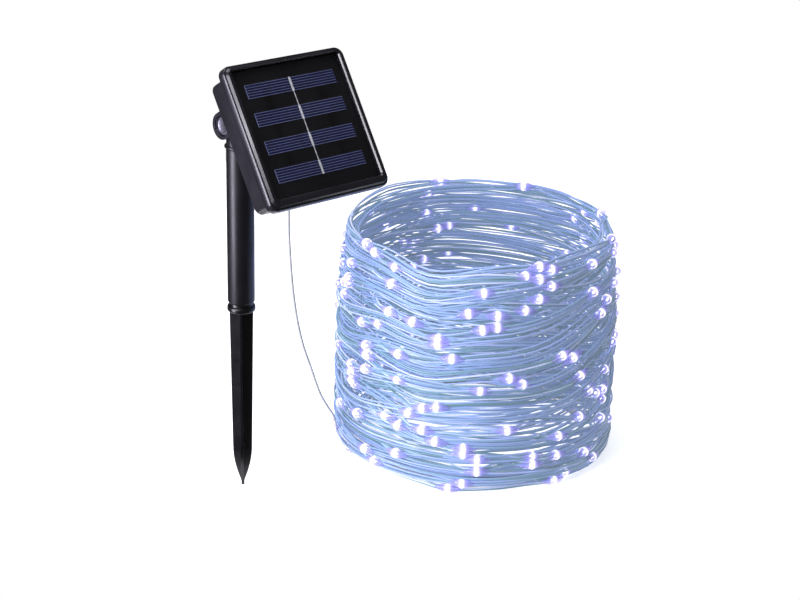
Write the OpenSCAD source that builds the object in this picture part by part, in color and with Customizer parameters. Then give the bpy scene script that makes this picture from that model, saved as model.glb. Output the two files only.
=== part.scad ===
// Solar string lights: a ground stake with a tilting solar panel head, a clear lead,
// and a coiled string of wire with moulded light drops. Millimetres, +Z up along the
// pole, origin at the tip of the spike. The coil lies on the plane of the tip.

/* [Stake] */
// Height of the spike's blades, from the tip to the collar
spike_h = 104; // [85:1:125]
// Width of the spike's blades at the collar
spike_w = 12.6; // [11:0.1:13.4]
// Width of the blades where the point begins
spike_waist_w = 10.4; // [9:0.1:10.8]
// Height at which the blades begin to run in to the point
spike_waist_h = 23.6; // [18:0.2:32]
// Thickness of the spike's blades
spike_blade_t = 1.6; // [1.2:0.1:2.2]
// Outside diameter of the pole
pole_d = 14.5; // [13:0.1:17.4]
// Wall of the pole
pole_wall = 1.2; // [0.9:0.1:1.6]
// Length of the pole
pole_h = 85.5; // [70:0.5:105]
// Length of the plugs that fit into the pole's ends
plug_h = 18; // [12:0.5:24]

/* [Hinge] */
// Height of the hinge centre above the pole's end
hinge_rise = 13.5; // [13:0.1:16]
// Outside diameter of the hinge ears and eye
ear_d = 14; // [12:0.1:14.6]
// Width of the stem's eye
eye_w = 9; // [8:0.1:10.8]
// Thickness of each ear
ear_t = 7; // [6:0.1:8.4]
// Diameter of the hinge bolt's shank
bolt_d = 4; // [3.5:0.1:4.5]
// Distance from the hinge centre to the panel's face
hinge_reach = 54; // [50:0.5:64]
// How far the hinge sits above the middle of the panel, along its slope
hinge_offset = 21.5; // [19:0.1:22.5]
// Heading of the hinge axis
panel_yaw = 42; // [0:1:60]
// Elevation of the panel's face at rest
panel_elev = 33; // [20:1:45]

/* [Panel head] */
// Side of the square bezel
bezel_s = 74.6; // [71:0.2:88]
// Depth of the bezel
bezel_t = 6; // [5.5:0.1:7.2]
// Width of the bezel's flat rim
rim_w = 2; // [1.6:0.1:2.4]
// Radius of the bezel's corners
corner_r = 4.5; // [3.6:0.1:5.4]
// Step from the bezel's edge in to the rear housing
housing_inset = 3.3; // [2.8:0.1:4]
// Depth of the panel head from its face to the housing's back
head_depth = 19.5; // [17:0.1:21.5]
// Wall of the rear housing
wall = 1.8; // [1.5:0.1:2.1]
// Width of the battery bulge on the housing's back
bulge_w = 48; // [46:0.5:49]
// Height of the battery bulge
bulge_h = 56; // [54:0.5:57.5]
// Depth of the battery bulge
bulge_t = 7; // [6.5:0.1:8.4]

/* [Solar cells] */
// Length of one cell strip
cell_l = 55.2; // [46:0.2:58]
// Width of one cell strip
cell_w = 7.2; // [6:0.1:8.6]
// Distance from one strip's middle to the next
cell_pitch = 14.5; // [12.1:0.1:15]
// Number of cell strips
cell_count = 4; // [2:1:4]

/* [Inside] */
// Diameter of the battery
battery_d = 14.2; // [10.5:0.1:14.2]
// Length of the battery
battery_l = 49; // [44:0.5:49]
// Diameter of the push buttons
button_d = 7; // [5.8:0.1:8.4]
// Travel of the push buttons
button_travel = 1.1; // [0.9:0.1:1.3]

/* [String] */
// Diameter of the clear lead
lead_d = 1.3; // [1:0.1:1.6]
// Outside diameter of the coil of light string
coil_d = 164; // [150:1:170]
// Width of the coil's band of wires
coil_band = 11; // [9:0.5:13.2]
// Height of the coil
coil_h = 134; // [110:1:160]
// How much narrower the coil is at its top, all round
coil_taper = 5; // [4:0.5:6]
// Number of light drops
led_count = 200; // [60:10:200]
// Diameter of a light drop
led_d = 5; // [4:0.1:6]

/* [Hidden] */
fit_gap = 0.1;      // push fit, each side
run_gap = 0.3;      // between parts that move on each other
eps = 0.02;
$fn = 64;

// stake heights
collar_t = 3.4;
collar_d = pole_d + 0.6;
groove_h = 1.4;
groove_d = pole_d - 1.5;
tip_d = 1.4;
pole_z0 = spike_h + collar_t + groove_h;
pole_z1 = pole_z0 + pole_h;
pole_bore_d = pole_d - 2*pole_wall;

// hinge
ring_t = 1.5;
ring_d = pole_d + 1.6;
ring_z = pole_z1 + run_gap;
hinge_z = pole_z1 + hinge_rise;
washer_t = 0.5;
ear_gap = eye_w + 2*washer_t + 0.1;
bolt_bore_d = bolt_d + 0.3;
head_recess_d = ear_d - 3.2;
head_recess_h = 3.2;
bolt_head_d = head_recess_d - 0.6;
bolt_head_h = 2.4;
nut_af = 7;
nut_h = 3.2;

// panel head, measured along the face's normal from the hinge axis
face_z = hinge_reach;
bezel_z = face_z - bezel_t;
back_z = face_z - head_depth;
bulge_z = back_z - bulge_t;
mid_y = -hinge_offset;
housing_s = bezel_s - 2*housing_inset;
rim_step = 1.2;
rim_h = 1.5;
bevel_w = 1.2;
bevel_h = 1.7;
window_s = bezel_s - 2*(rim_step + rim_w + bevel_w);
window_up = 1.2;     // the window sits this far above the bezel's middle
ledge_w = 2;         // ledge that the panel rests on, all round
panel_s = window_s - 0.4;
cover_t = 0.5;
cell_t = 0.3;
board_t = 1.5;
cover_z = face_z - bevel_h - cover_t;
cell_z = cover_z - cell_t - 0.02;
board_z = cell_z - board_t;
gasket_t = 0.8;
gasket_w = 1.6;
housing_top = bezel_z - gasket_t;

// inside
battery_x = 12.5;
battery_z = bulge_z + wall + battery_d/2 + 0.6;
board_x = -11.5;
pcb_w = 22;
pcb_h = 44;
pcb_t = 1.2;
switch_s = 6;
switch_h = 3.6;
button_x = board_x;
button_ys = [mid_y + 4, mid_y - 10];
button_rise = 1.8;
button_neck = 3;
pcb_z = bulge_z + wall + button_neck + switch_h + 0.4;
post_d = 4;
post_hole_d = 1.8;
post_x = pcb_w/2 - 3;
post_y = pcb_h/2 - 3.2;
pillar_d = 5.2;
pillar_h = 6;
boss_at = housing_s/2 - wall - pillar_d/2 - 0.4;
screw_d = 2.5;
screw_head_d = 4.6;
screw_head_h = 1.6;

// cable gland
gland_x = 2;
gland_y = mid_y - 23.5;
gland_d = 5;
gland_tip_d = 2.8;
gland_h = 6;
gland_hole_d = 3.6;

// coil
coil_r = coil_d/2;
coil_x = 47 + coil_r;
coil_y = 74;
coil_edge = 4;
sleeve_d = 3;
sleeve_l = 18;
tail_d = 2.4;
tail_l = 8;

// The free stretch of the lead at the default sizes: from the gland, down past the pole,
// and in to the coil. lead_tip is the gland's tip at those sizes.
lead_tip = [29.95, -30.27, 181.77];
lead_points = [
    [29.8, -30.1, 181.6], [28.4, -28.5, 180.2], [27.4, -27.4, 178.2], [27, -27, 175],
    [27, -26.8, 166], [27.2, -26.2, 154], [28.2, -23, 134], [29.2, -16, 117], [30.8, -8, 100],
    [33.2, 0, 84], [36.8, 8.5, 68], [41.4, 19, 48], [45.4, 29, 35], [48.2, 39, 25],
    [49.4, 47, 16], [49.6, 55, 9]
];
lead_ring = 3.4;
lead_shift = to_world([gland_x, gland_y, bulge_z - gland_h]) - lead_tip;
lead_path = [for (p = lead_points) p + lead_shift*p[2]/lead_tip[2]];

// ---------- shared shapes ----------

// Outline of a rectangle with round corners, centred
function corner_points(cx, cy, r, a0, steps = 8) =
    [for (i = [0:steps]) let (a = a0 + 90*i/steps) [cx + r*cos(a), cy + r*sin(a)]];

function round_rect(w, h, r) = concat(
    corner_points( w/2 - r,  h/2 - r, r, 0),
    corner_points(-w/2 + r,  h/2 - r, r, 90),
    corner_points(-w/2 + r, -h/2 + r, r, 180),
    corner_points( w/2 - r, -h/2 + r, r, 270));

module slab(w, h, r, t) {
    linear_extrude(t) polygon(round_rect(w, h, r));
}

// A slab centred on the head, from depth z up
module panel_slab(s, r, z, t, up = 0) {
    translate([0, mid_y + up, z]) slab(s, s, r, t);
}

// Puts a shape drawn on the hinge into the world: x along the hinge axis,
// y up the slope of the panel, z out of the panel's face
module at_head() {
    translate([0, 0, hinge_z])
        rotate([0, 0, panel_yaw])
            rotate([90 - panel_elev, 0, 0])
                children();
}

// The world place of a point on the head
function to_world(p) =
    let (tip = 90 - panel_elev, y = p[1]*cos(tip) - p[2]*sin(tip), z = p[1]*sin(tip) + p[2]*cos(tip))
    [p[0]*cos(panel_yaw) - y*sin(panel_yaw), p[0]*sin(panel_yaw) + y*cos(panel_yaw), hinge_z + z];

// A cylinder along the hinge axis, from x up
module along_hinge(x, d, l) {
    translate([x, 0, 0]) rotate([0, 90, 0]) cylinder(d = d, h = l);
}

module each_corner(at) {
    for (sx = [-1, 1], sy = [-1, 1])
        translate([sx*at, mid_y + sy*at, 0]) children();
}

// ---------- stake ----------

// Half outline of one blade, straight down to the waist and curving in to the pin
module blade_outline() {
    steps = 8;
    pin_h = 2.6;
    rise = spike_waist_h - pin_h;
    run = (spike_waist_w - tip_d)/2;
    side = concat(
        [[tip_d/2, 0], [tip_d/2, pin_h]],
        [for (i = [1:steps]) let (u = i/steps)
            [tip_d/2 + run*sin(90*pow(u, 0.9)), pin_h + rise*u]],
        [[spike_w/2, spike_h + eps]]);
    polygon(concat(side, [for (i = [len(side) - 1:-1:0]) [-side[i][0], side[i][1]]]));
}

module ground_spike() {
    color([0.07, 0.07, 0.08]) {
        for (turn = [0, 90])
            rotate([90, 0, turn])
                linear_extrude(spike_blade_t, center = true) blade_outline();
        translate([0, 0, spike_h]) cylinder(d = collar_d, h = collar_t);
        translate([0, 0, spike_h + collar_t]) cylinder(d = groove_d, h = groove_h);
        translate([0, 0, spike_h]) cylinder(d = pole_bore_d - 2*fit_gap, h = collar_t + groove_h + plug_h);
    }
}

module pole_tube() {
    color([0.16, 0.15, 0.18])
        difference() {
            translate([0, 0, pole_z0]) cylinder(d = pole_d, h = pole_h);
            translate([0, 0, pole_z0 - 1]) cylinder(d = pole_bore_d, h = pole_h + 2);
        }
}

// Plug in the pole, flange, neck, and the eye that the hinge bolt runs through
module bracket_stem() {
    neck_d = pole_d - 0.3;
    neck_z1 = hinge_z - ear_d/2 - run_gap;
    tab_w = min(ear_d, sqrt(pow(neck_d, 2) - pow(eye_w, 2))) - 0.5;
    color([0.13, 0.12, 0.15])
        difference() {
            union() {
                translate([0, 0, pole_z1 - plug_h])
                    cylinder(d = pole_bore_d - 2*fit_gap, h = plug_h + run_gap + eps);
                translate([0, 0, ring_z]) cylinder(d = ring_d, h = ring_t);
                translate([0, 0, ring_z + ring_t - eps])
                    cylinder(d = neck_d, h = neck_z1 - ring_z - ring_t + eps);
                rotate([0, 0, panel_yaw])
                    translate([-eye_w/2 + eps, -tab_w/2, neck_z1 - eps])
                        cube([eye_w - 2*eps, tab_w, hinge_z - neck_z1 + eps]);
                at_head() along_hinge(-eye_w/2, ear_d, eye_w);
            }
            at_head() along_hinge(-eye_w, bolt_bore_d, 2*eye_w);
        }
}

// ---------- hinge fasteners ----------

module hinge_washers() {
    color([0.75, 0.75, 0.78])
        at_head()
            for (x = [-eye_w/2 - washer_t, eye_w/2])
                difference() {
                    along_hinge(x, ear_d - 3, washer_t);
                    along_hinge(x - 1, bolt_bore_d, washer_t + 2);
                }
}

module hinge_bolt() {
    head_x = -ear_gap/2 - ear_t + head_recess_h;
    shank_l = ear_gap + 2*ear_t - head_recess_h - 1.2;
    slot_w = 1;
    slot_l = 4.4;
    slot_depth = 1.1;
    color([0.48, 0.46, 0.55])
        at_head()
            difference() {
                union() {
                    along_hinge(head_x - bolt_head_h, bolt_head_d, bolt_head_h);
                    along_hinge(head_x - eps, bolt_d, shank_l);
                }
                for (turn = [0, 90])
                    rotate([turn, 0, 0])
                        translate([head_x - bolt_head_h - 1, -slot_w/2, -slot_l/2])
                            cube([1 + slot_depth, slot_w, slot_l]);
            }
}

module hinge_nut() {
    nut_x = ear_gap/2 + ear_t - nut_h - 0.4;
    color([0.7, 0.7, 0.72])
        at_head()
            difference() {
                translate([nut_x, 0, 0]) rotate([0, 90, 0]) cylinder(d = nut_af/cos(30), h = nut_h, $fn = 6);
                along_hinge(nut_x - 1, bolt_d + 0.04, nut_h + 2);
            }
}

// ---------- housing ----------

// One ear with the arm that joins it to the bulge
module ear(x) {
    along_hinge(x, ear_d, ear_t);
    translate([x, -ear_d/2, 0]) cube([ear_t, ear_d, bulge_z + wall/2]);
}

module button_holes(d, h) {
    for (y = button_ys) translate([button_x, y, bulge_z - 1]) cylinder(d = d, h = h);
}

module rear_housing() {
    inner_s = housing_s - 2*wall;
    color([0.17, 0.16, 0.18])
        at_head()
            difference() {
                union() {
                    panel_slab(housing_s, corner_r - 0.5, back_z, housing_top - back_z);
                    translate([0, mid_y, bulge_z]) slab(bulge_w, bulge_h, 4, bulge_t + 1);
                    ear(-ear_gap/2 - ear_t);
                    ear(ear_gap/2);
                }
                difference() {
                    panel_slab(inner_s, corner_r - 1.5, back_z + wall, head_depth);
                    each_corner(boss_at)
                        translate([0, 0, back_z])
                            cylinder(d = pillar_d, h = bezel_z - pillar_h - 0.2 - back_z);
                }
                difference() {
                    translate([0, mid_y, bulge_z + wall])
                        slab(bulge_w - 2*wall, bulge_h - 2*wall, 2.5, bulge_t + wall);
                    for (sx = [-1, 1])
                        translate([board_x + sx*post_x, mid_y + sx*post_y, bulge_z])
                            cylinder(d = post_d, h = pcb_z - bulge_z);
                }
                for (sx = [-1, 1])
                    translate([board_x + sx*post_x, mid_y + sx*post_y, pcb_z - 6])
                        cylinder(d = post_hole_d, h = 8);
                each_corner(boss_at) {
                    translate([0, 0, back_z - 1]) cylinder(d = screw_d + 0.4, h = head_depth);
                    translate([0, 0, back_z - 1]) cylinder(d = screw_head_d + 0.4, h = screw_head_h + 1.2);
                }
                along_hinge(-30, bolt_bore_d, 60);
                along_hinge(-ear_gap/2 - ear_t - 1, head_recess_d, head_recess_h + 1);
                translate([ear_gap/2 + ear_t - nut_h - 0.5, 0, 0]) rotate([0, 90, 0])
                    cylinder(d = (nut_af + 0.2)/cos(30), h = nut_h + 2, $fn = 6);
                button_holes(button_d + 1.8, wall + 2);
                translate([gland_x, gland_y, bulge_z - 1]) cylinder(d = gland_hole_d, h = wall + 2);
            }
}

module housing_gasket() {
    color([0.25, 0.25, 0.26])
        at_head()
            difference() {
                panel_slab(housing_s - 0.4, corner_r - 0.6, housing_top, gasket_t);
                panel_slab(housing_s - 2*gasket_w, corner_r - 1.5, housing_top - 1, gasket_t + 2);
            }
}

// Square frame with a stepped rim and a bevel down to the window. The solar panel drops
// in from the front on to a ledge, and a pillar behind each corner takes a housing screw.
module front_bezel() {
    rim_s = bezel_s - 2*rim_step;
    lip_s = rim_s - 2*rim_w;
    pillar_top = board_z - 0.05;
    web = pillar_d + 2;
    color([0.13, 0.12, 0.15])
        at_head()
            difference() {
                union() {
                    difference() {
                        union() {
                            panel_slab(bezel_s, corner_r, bezel_z, bezel_t - rim_h);
                            panel_slab(rim_s, corner_r - 0.8, bezel_z + 1, bezel_t - 1);
                        }
                        panel_slab(window_s - 2*ledge_w, 1.2, bezel_z - 1, bezel_t, window_up);
                        panel_slab(window_s, 1.4, pillar_top, bezel_t, window_up);
                        translate([0, mid_y + window_up, face_z]) bevel_cut(lip_s, window_s, bevel_h);
                    }
                    for (sx = [-1, 1], sy = [-1, 1])
                        translate([sx*boss_at, mid_y + sy*boss_at, 0]) {
                            translate([0, 0, bezel_z - pillar_h])
                                cylinder(d = pillar_d, h = pillar_top - bezel_z + pillar_h);
                            translate([sx*(web - pillar_d)/2 - web/2, sy*(web - pillar_d)/2 - web/2, bezel_z])
                                cube([web, web, pillar_top - bezel_z]);
                        }
                }
                each_corner(boss_at)
                    translate([0, 0, bezel_z - pillar_h - 1])
                        cylinder(d = screw_d, h = pillar_h + 1 + pillar_top - bezel_z - 0.5);
            }
}

// A four-sided funnel from the rim's inner edge down to the window
module bevel_cut(top_s, low_s, depth) {
    over = 1;
    slope = (top_s - low_s)/2/depth;
    a = top_s/2 + slope*over;
    b = low_s/2;
    polyhedron(
        points = [[-b, -b, -depth], [b, -b, -depth], [b, b, -depth], [-b, b, -depth],
                  [-a, -a, over], [a, -a, over], [a, a, over], [-a, a, over]],
        faces = [[0, 1, 2, 3], [7, 6, 5, 4], [4, 5, 1, 0], [5, 6, 2, 1], [6, 7, 3, 2], [7, 4, 0, 3]]);
}

// ---------- solar panel ----------

module panel_board() {
    color([0.05, 0.05, 0.06])
        at_head() panel_slab(panel_s, 1.2, board_z, board_t, window_up);
}

function cell_y(i) = mid_y + window_up + ((cell_count - 1)/2 - i)*cell_pitch;

module solar_cells() {
    color([0.11, 0.13, 0.32])
        at_head()
            for (i = [0:cell_count - 1])
                translate([-cell_l/2, cell_y(i) - cell_w/2, cell_z]) cube([cell_l, cell_w, cell_t - 0.1]);
}

// Flat links between one strip and the next
module cell_links() {
    link_w = 4;
    color([0.03, 0.03, 0.035])
        at_head()
            for (i = [0:cell_count - 2], sx = [-1, 1])
                translate([sx*cell_l*0.3 - link_w/2, cell_y(i + 1) + cell_w/2 + 0.1, cell_z])
                    cube([link_w, cell_pitch - cell_w - 0.2, cell_t - 0.12]);
}

module cell_ribbon() {
    ribbon_w = 1.1;
    ribbon_l = (cell_count - 1)*cell_pitch + cell_w + 0.8;
    color([0.85, 0.86, 0.88])
        at_head()
            translate([-ribbon_w/2, mid_y + window_up - ribbon_l/2, cell_z + cell_t - 0.1])
                cube([ribbon_w, ribbon_l, 0.1]);
}

module panel_cover() {
    color([0.6, 0.65, 0.7, 0.25])
        at_head() panel_slab(panel_s, 1.2, cover_z, cover_t, window_up);
}

// ---------- electronics ----------

module battery_cell() {
    nub_d = 5;
    nub_h = 1.2;
    color([0.12, 0.35, 0.2])
        at_head()
            translate([battery_x, mid_y - battery_l/2, battery_z]) rotate([-90, 0, 0]) {
                cylinder(d = battery_d, h = battery_l - nub_h);
                cylinder(d = nub_d, h = battery_l);
            }
}

// Two saddles that hold the battery to the bulge's floor
module battery_cradle() {
    saddle_t = 3;
    saddle_at = 14;
    saddle_w = battery_d + 1.2;
    floor_z = bulge_z + wall;
    color([0.2, 0.2, 0.22])
        at_head()
            difference() {
                for (y = [-saddle_at, saddle_at])
                    translate([battery_x - saddle_w/2, mid_y + y - saddle_t/2, floor_z])
                        cube([saddle_w, saddle_t, battery_z - floor_z]);
                translate([battery_x, mid_y - battery_l, battery_z]) rotate([-90, 0, 0])
                    cylinder(d = battery_d + 0.2, h = 2*battery_l);
            }
}

module battery_contacts() {
    plate_t = 0.4;
    plate_s = 8;
    color([0.75, 0.72, 0.6])
        at_head()
            for (end = [-1, 1])
                translate([battery_x, mid_y + end*(battery_l/2 + 0.05 + plate_t/2), battery_z])
                    cube([plate_s, plate_t, plate_s], center = true);
}

module control_board() {
    color([0.05, 0.3, 0.14])
        at_head()
            difference() {
                translate([board_x - pcb_w/2, mid_y - pcb_h/2, pcb_z]) cube([pcb_w, pcb_h, pcb_t]);
                for (sx = [-1, 1])
                    translate([board_x + sx*post_x, mid_y + sx*post_y, pcb_z - 1])
                        cylinder(d = post_hole_d + 0.4, h = pcb_t + 2);
            }
}

// Controller chip, resistor, diode, inductor and capacitor on the board's inner side
module board_parts() {
    chip = [4, 5, 1.5];
    resistor = [2, 3, 1];
    diode = [3.5, 2, 1.2];
    inductor_d = 5;
    inductor_h = 2.6;
    capacitor_d = 4;
    capacitor_h = 3.2;
    color([0.1, 0.1, 0.11])
        at_head()
            translate([board_x, mid_y, pcb_z + pcb_t]) {
                translate([-5, 6, 0]) cube(chip);
                translate([-6, -6, 0]) cube(resistor);
                translate([3, -2, 0]) cube(diode);
                translate([5, 10, 0]) cylinder(d = inductor_d, h = inductor_h);
                translate([2, -14, 0]) cylinder(d = capacitor_d, h = capacitor_h);
            }
}

module push_switch(y) {
    at_head()
        translate([button_x - switch_s/2, y - switch_s/2, pcb_z - switch_h])
            cube([switch_s, switch_s, switch_h - 0.01]);
}

module power_switch() { color([0.08, 0.08, 0.09]) push_switch(button_ys[0]); }
module mode_switch() { color([0.08, 0.08, 0.09]) push_switch(button_ys[1]); }

// A cap outside the wall with a neck that runs in through the seal to the switch
module push_button(y) {
    at_head()
        translate([button_x, y, 0]) {
            translate([0, 0, bulge_z - button_rise]) cylinder(d = button_d - 1, h = button_rise + wall);
            translate([0, 0, bulge_z - button_rise + 1.4])
                cylinder(d = button_d - 2, h = button_rise - 1.4 + wall + button_neck - button_travel);
        }
}

module power_button() { color([0.5, 0.06, 0.06]) push_button(button_ys[0]); }
module mode_button() { color([0.2, 0.2, 0.22]) push_button(button_ys[1]); }

module button_seals() {
    color([0.1, 0.1, 0.11])
        at_head()
            for (y = button_ys)
                translate([button_x, y, bulge_z - 0.4])
                    difference() {
                        union() {
                            cylinder(d = button_d + 1.6, h = wall + 0.4);
                            cylinder(d = button_d + 3.4, h = 0.4);
                        }
                        translate([0, 0, -1]) cylinder(d = button_d - 1 + 2*run_gap, h = wall + 4);
                    }
}

// A short insulated wire between two points
module wire(a, b) {
    d = b - a;
    l = norm(d);
    translate(a) rotate([0, acos(d[2]/l), atan2(d[1], d[0])]) cylinder(d = 1, h = l, $fn = 16);
}

module panel_wires() {
    top = board_z - 0.3;
    low = pcb_z + pcb_t + 0.1;
    color([0.7, 0.1, 0.1])
        at_head()
            for (x = [-19, -16.5])
                wire([x, mid_y + 17, low], [x + 2, mid_y + 15, top]);
}

module battery_wires() {
    low = pcb_z + pcb_t + 0.6;
    color([0.1, 0.1, 0.1])
        at_head()
            for (y = [-9, 3])
                wire([board_x + 4, mid_y + y, low], [battery_x - battery_d/2 - 1.2, mid_y + y, low + 1.5]);
}

module screw(head_d, head_h, d, l) {
    difference() {
        union() {
            cylinder(d = head_d, h = head_h);
            translate([0, 0, head_h - eps]) cylinder(d = d, h = l);
        }
        for (turn = [0, 90])
            rotate([0, 0, turn]) translate([-head_d*0.3, -0.35, -1]) cube([head_d*0.6, 0.7, 1 + head_h*0.5]);
    }
}

module board_screws() {
    board_head_d = 3.4;
    board_head_h = 1.2;
    board_screw_l = 5.5;
    color([0.7, 0.7, 0.72])
        at_head()
            for (sx = [-1, 1])
                translate([board_x + sx*post_x, mid_y + sx*post_y, pcb_z + pcb_t + board_head_h])
                    mirror([0, 0, 1]) screw(board_head_d, board_head_h - 0.01, post_hole_d - 0.1, board_screw_l);
}

module housing_screws() {
    color([0.55, 0.55, 0.58])
        at_head()
            each_corner(boss_at)
                translate([0, 0, back_z])
                    screw(screw_head_d, screw_head_h, screw_d - 0.04, bezel_z - back_z - screw_head_h + 1);
}

// ---------- cable gland and string ----------

module cable_gland() {
    color([0.1, 0.1, 0.11])
        at_head()
            translate([gland_x, gland_y, bulge_z])
                rotate([180, 0, 0])
                    rotate_extrude()
                        polygon([[lead_d/2 + 0.02, -wall - 0.8], [gland_hole_d/2, -wall - 0.8], [gland_hole_d/2, 0],
                                 [gland_d/2, 0], [gland_d/2, 1.2], [gland_tip_d/2, gland_h],
                                 [lead_d/2 + 0.02, gland_h]]);
}

// Points along a smooth curve through a list of points
function curve_at(p, i, t) =
    let (a = p[max(i - 1, 0)], b = p[i], c = p[i + 1], d = p[min(i + 2, len(p) - 1)])
    0.5*((2*b) + (c - a)*t + (2*a - 5*b + 4*c - d)*t*t + (3*b - a - 3*c + d)*t*t*t);

function smooth(p, step) = concat(
    [for (i = [0:len(p) - 2])
        let (n = max(1, round(norm(p[i + 1] - p[i])/step)))
        for (k = [0:n - 1]) curve_at(p, i, k/n)],
    [p[len(p) - 1]]);

function unit(v) = v/norm(v);
function heading(p, i) = unit(p[min(i + 1, len(p) - 1)] - p[max(i - 1, 0)]);

// A round tube swept along a list of points
module tube_along(p, d, sides) {
    rings = [for (i = [0:len(p) - 1])
        let (t = heading(p, i), side = unit(cross(t, [0.3, 1, 0.1])), up = cross(side, t))
        for (k = [0:sides - 1]) p[i] + d/2*(side*cos(360*k/sides) + up*sin(360*k/sides))];
    n = len(p);
    polyhedron(
        points = rings,
        faces = concat(
            [[for (k = [0:sides - 1]) k]],
            [[for (k = [0:sides - 1]) n*sides - 1 - k]],
            [for (i = [0:n - 2], k = [0:sides - 1])
                [i*sides + k, (i + 1)*sides + k, (i + 1)*sides + (k + 1)%sides, i*sides + (k + 1)%sides]]));
}

module lead_cable() {
    color([0.8, 0.82, 0.83])
        tube_along(smooth(lead_path, lead_ring), lead_d, 8);
}

// The sleeve where the lead's two cores are joined to the string's wires, inside the coil
module lead_splice() {
    a = 250;
    r = coil_r - coil_band - sleeve_d/2 - 1;
    color([0.85, 0.85, 0.86])
        translate([coil_x + r*cos(a), coil_y + r*sin(a), sleeve_d/2 + 2])
            rotate([90, 0, a]) cylinder(d = sleeve_d, h = sleeve_l, center = true);
}

module string_coil() {
    in_r = coil_r - coil_band;
    color([0.6, 0.68, 0.85])
        translate([coil_x, coil_y, 0])
            rotate_extrude($fn = 96)
                polygon([[in_r + coil_edge/2, 0], [coil_r - coil_edge/2, 0], [coil_r, coil_edge],
                         [coil_r, coil_h*0.6], [coil_r - coil_taper*0.3, coil_h*0.85],
                         [coil_r - coil_taper, coil_h - coil_edge], [coil_r - coil_taper - coil_edge, coil_h],
                         [in_r + coil_edge/2, coil_h], [in_r, coil_h - coil_edge], [in_r, coil_edge]]);
}

// Light drops spread along the turns, half sunk in the outside of the coil
module light_drops() {
    golden = 137.5;
    margin = led_d;
    color([0.85, 0.82, 1])
        for (i = [0:led_count - 1]) {
            u = (i + 0.5)/led_count;
            z = margin + (coil_h*0.82 - margin)*u;
            a = golden*i;
            translate([coil_x + (coil_r - 0.6)*cos(a), coil_y + (coil_r - 0.6)*sin(a), z])
                sphere(d = led_d, $fn = 24);
        }
}

// The sealed end of the string, inside the coil near its top
module string_end() {
    a = 205;
    r = coil_r - coil_band - 1.5;
    color([0.85, 0.85, 0.86])
        translate([coil_x + r*cos(a), coil_y + r*sin(a), coil_h*0.9])
            rotate([90, 0, a]) cylinder(d = tail_d, h = tail_l, center = true);
}

ground_spike();
pole_tube();
bracket_stem();
hinge_washers();
hinge_bolt();
hinge_nut();
rear_housing();
housing_gasket();
front_bezel();
panel_board();
solar_cells();
cell_links();
cell_ribbon();
panel_cover();
battery_cell();
battery_cradle();
battery_contacts();
control_board();
board_parts();
power_switch();
mode_switch();
power_button();
mode_button();
button_seals();
panel_wires();
battery_wires();
board_screws();
housing_screws();
cable_gland();
lead_cable();
lead_splice();
string_coil();
light_drops();
string_end();
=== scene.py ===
# Solar string lights on a ground stake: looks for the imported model.
import math

import bmesh
import bpy
import numpy as np
from mathutils import Matrix, Vector


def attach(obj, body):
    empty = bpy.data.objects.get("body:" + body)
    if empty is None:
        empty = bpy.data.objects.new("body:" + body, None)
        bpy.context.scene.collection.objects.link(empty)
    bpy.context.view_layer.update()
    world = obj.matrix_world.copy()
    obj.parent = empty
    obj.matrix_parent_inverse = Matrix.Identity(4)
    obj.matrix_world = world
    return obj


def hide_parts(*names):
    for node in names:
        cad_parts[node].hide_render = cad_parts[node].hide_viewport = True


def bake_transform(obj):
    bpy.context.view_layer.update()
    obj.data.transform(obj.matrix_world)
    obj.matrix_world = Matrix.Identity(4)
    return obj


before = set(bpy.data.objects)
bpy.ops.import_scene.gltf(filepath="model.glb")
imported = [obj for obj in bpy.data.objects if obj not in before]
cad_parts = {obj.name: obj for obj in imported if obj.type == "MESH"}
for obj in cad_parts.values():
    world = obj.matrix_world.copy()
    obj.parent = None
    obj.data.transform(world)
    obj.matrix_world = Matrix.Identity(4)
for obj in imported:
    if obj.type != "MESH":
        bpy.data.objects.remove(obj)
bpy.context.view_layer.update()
mm = 0.001

# The panel head's own frame: x along the hinge, y up the panel's slope, z out of its face
head = {"hingeHeight": 207.8, "yaw": 42, "elevation": 33, "middle": -21.5, "face": 54}
headMatrix = (
    Matrix.Translation((0, 0, head["hingeHeight"] * mm))
    @ Matrix.Rotation(math.radians(head["yaw"]), 4, "Z")
    @ Matrix.Rotation(math.radians(90 - head["elevation"]), 4, "X")
)


# camera: place and lens in mm, angles in degrees, clipStart in metres
cameraSet = {"place": (84.6, -892.2, 464.6), "lens": 81, "down": 21.56, "roll": 1.47, "clipStart": 0.02}


def addCamera():
    camera = bpy.data.objects.new("camera", bpy.data.cameras.new("camera"))
    bpy.context.scene.collection.objects.link(camera)
    camera.data.lens = cameraSet["lens"]
    camera.data.clip_start = cameraSet["clipStart"]
    camera.matrix_world = (
        Matrix.Translation(Vector(cameraSet["place"]) * mm)
        @ Matrix.Rotation(math.radians(90 - cameraSet["down"]), 4, "X")
        @ Matrix.Rotation(math.radians(cameraSet["roll"]), 4, "Z")
    )
    bpy.context.scene.camera = camera


addCamera()
print("camera done")


# helpers for materials
def linearColour(hexText):
    values = [int(hexText[i : i + 2], 16) / 255 for i in (1, 3, 5)]
    return [v / 12.92 if v <= 0.04045 else ((v + 0.055) / 1.055) ** 2.4 for v in values] + [1]


def addNode(material, kind, settings=None, links=None):
    # settings go to the node's own fields or to its sockets, links join sockets to other outputs
    node = material.node_tree.nodes.new(kind)
    for key, value in (settings or {}).items():
        if isinstance(key, str) and hasattr(node, key):
            setattr(node, key, value)
        else:
            node.inputs[key].default_value = value
    for key, output in (links or {}).items():
        material.node_tree.links.new(output, node.inputs[key])
    return node


def startMaterial(name):
    material = bpy.data.materials.new(name)
    material.use_nodes = True
    material.node_tree.nodes.clear()
    return material


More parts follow.
